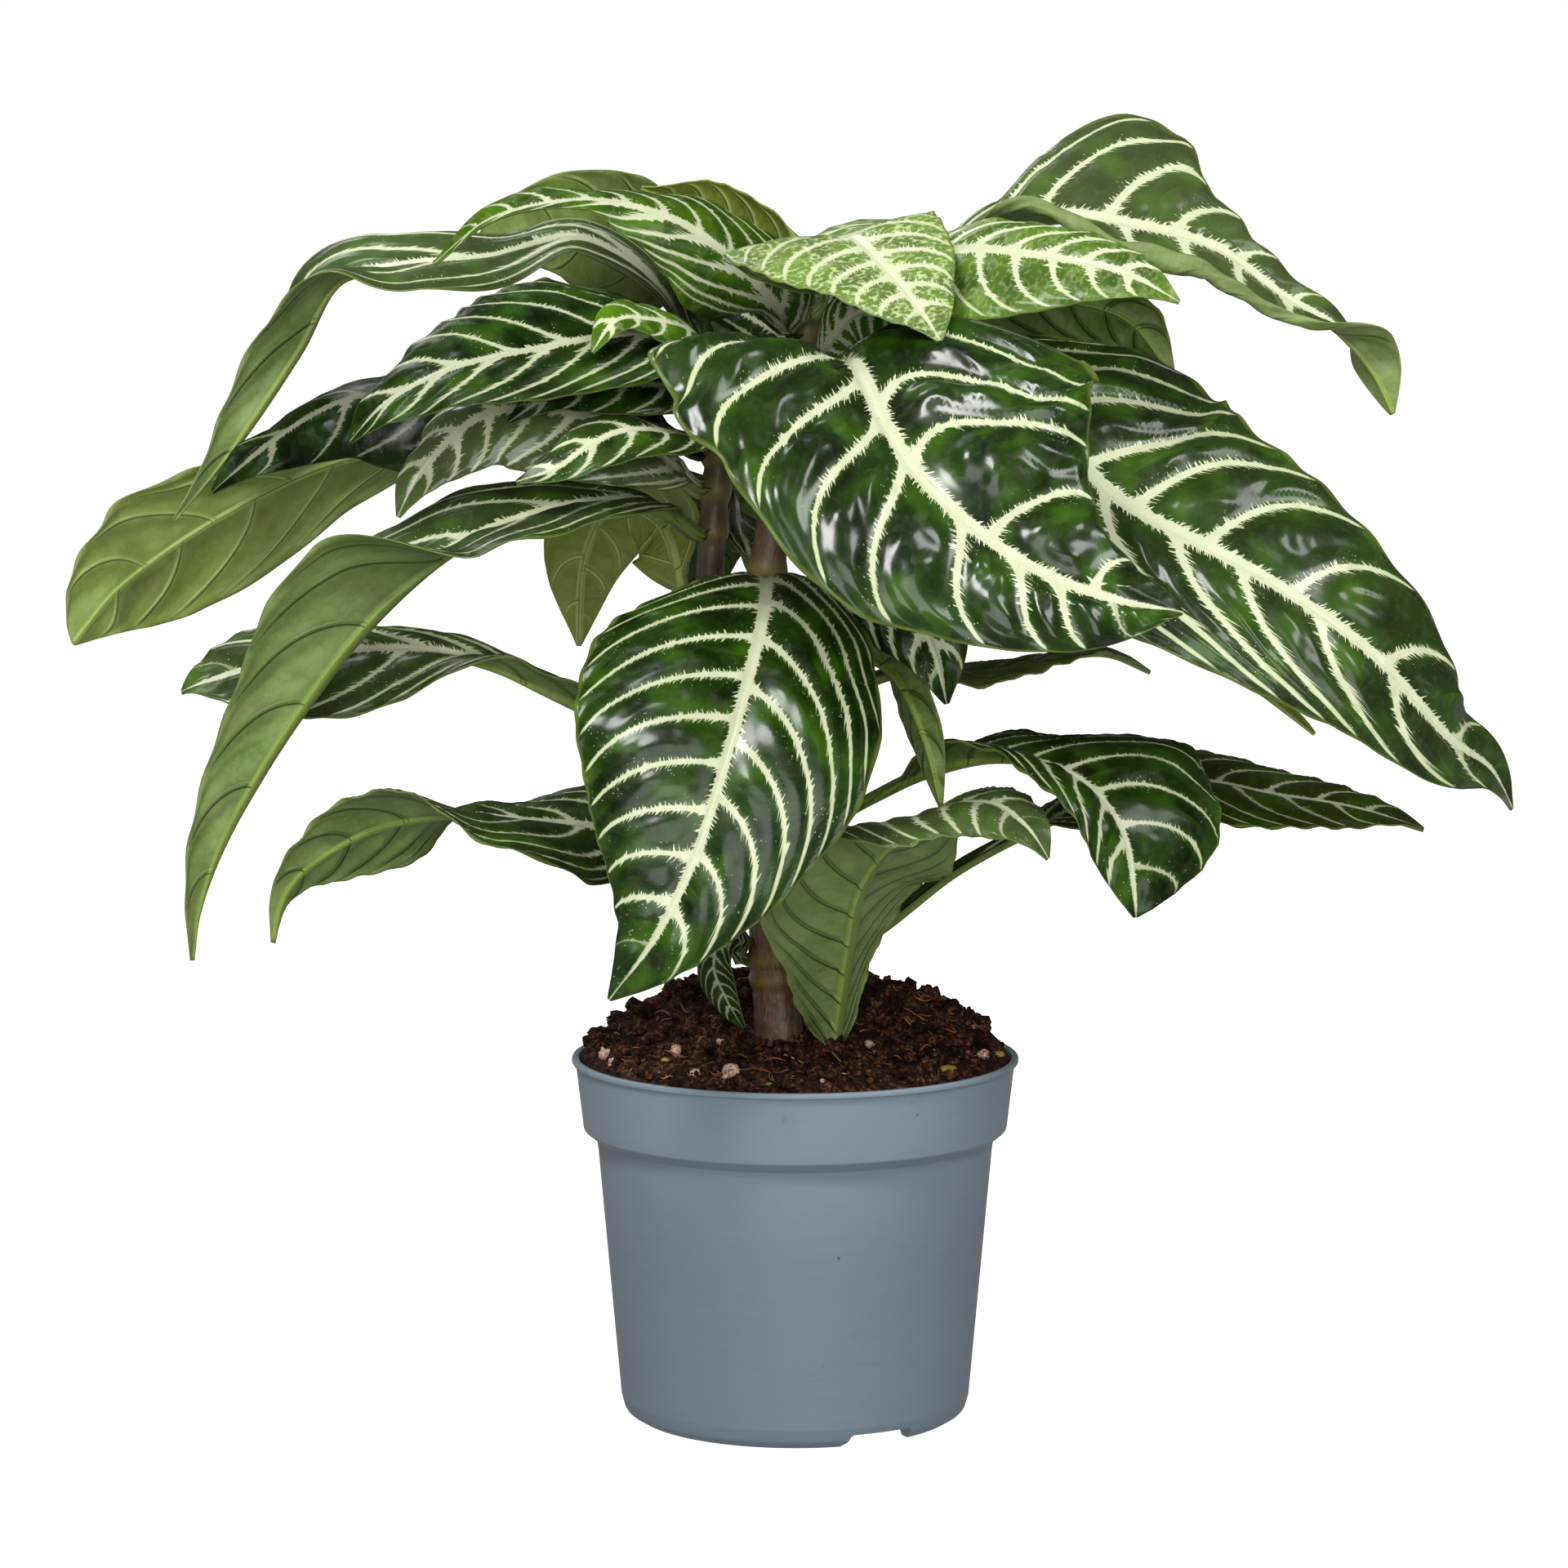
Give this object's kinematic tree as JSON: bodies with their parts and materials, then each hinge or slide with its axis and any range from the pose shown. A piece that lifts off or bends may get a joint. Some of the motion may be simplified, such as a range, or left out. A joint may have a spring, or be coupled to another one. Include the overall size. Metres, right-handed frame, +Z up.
{
  "type": "potted zebra plant",
  "caption": "Zebra plant with broad pointed leaves striped cream along their veins, growing from dark soil in a round plastic nursery pot.",
  "frame": {"origin": "on the pot's axis, at the surface that the pot stands on; the plant's extents to the left and right, and to the front and back, are balanced about it", "axes": "+Z up along the pot's axis, -Y towards the front of the plant, +X to the right seen from the front"},
  "size_m": [0.4486, 0.2516, 0.4068],
  "materials": {
    "pot_plastic": "matte blue-grey",
    "potting_soil": "crumbly dark peat",
    "stem_bark": "smooth young bark",
    "leaf_green": "glossy dark green with cream-white veins above, matte pale green below"
  },
  "bodies": {
    "root": {"pot": "pot_plastic", "soil": "potting_soil", "stem_main": "stem_bark", "stem_left": "stem_bark", "stem_right": "stem_bark", "leaf_front_centre": "leaf_green", "leaf_front_right": "leaf_green", "leaf_right_large": "leaf_green", "leaf_low_front": "leaf_green", "leaf_low_back": "leaf_green", "leaf_centre_hanging": "leaf_green", "leaf_centre_pale": "leaf_green", "leaf_crown_front": "leaf_green", "leaf_crown_under": "leaf_green", "leaf_crown_right": "leaf_green", "leaf_crown_left": "leaf_green", "leaf_crown_small": "leaf_green", "leaf_crown_back_young": "leaf_green", "leaf_crown_left_back": "leaf_green", "leaf_top_right": "leaf_green", "leaf_right_back_upper": "leaf_green", "leaf_right_under": "leaf_green", "leaf_right_thin_back": "leaf_green", "leaf_right_low": "leaf_green", "leaf_right_far": "leaf_green", "leaf_left_arched": "leaf_green", "leaf_left_back": "leaf_green", "leaf_left_shadow": "leaf_green", "leaf_left_sheen": "leaf_green", "leaf_left_glossy": "leaf_green", "leaf_left_small": "leaf_green", "leaf_left_dark": "leaf_green", "leaf_left_long": "leaf_green", "leaf_left_middle": "leaf_green", "leaf_left_low": "leaf_green", "leaf_back_hanging": "leaf_green", "leaf_back_grey": "leaf_green", "leaf_back_right": "leaf_green", "leaf_back_centre": "leaf_green", "leaf_back_left": "leaf_green", "leaf_back_low": "leaf_green", "leaf_back_crown": "leaf_green", "leaf_back_right_upper": "leaf_green", "leaf_back_left_upper": "leaf_green"}
  },
  "joints": []
}
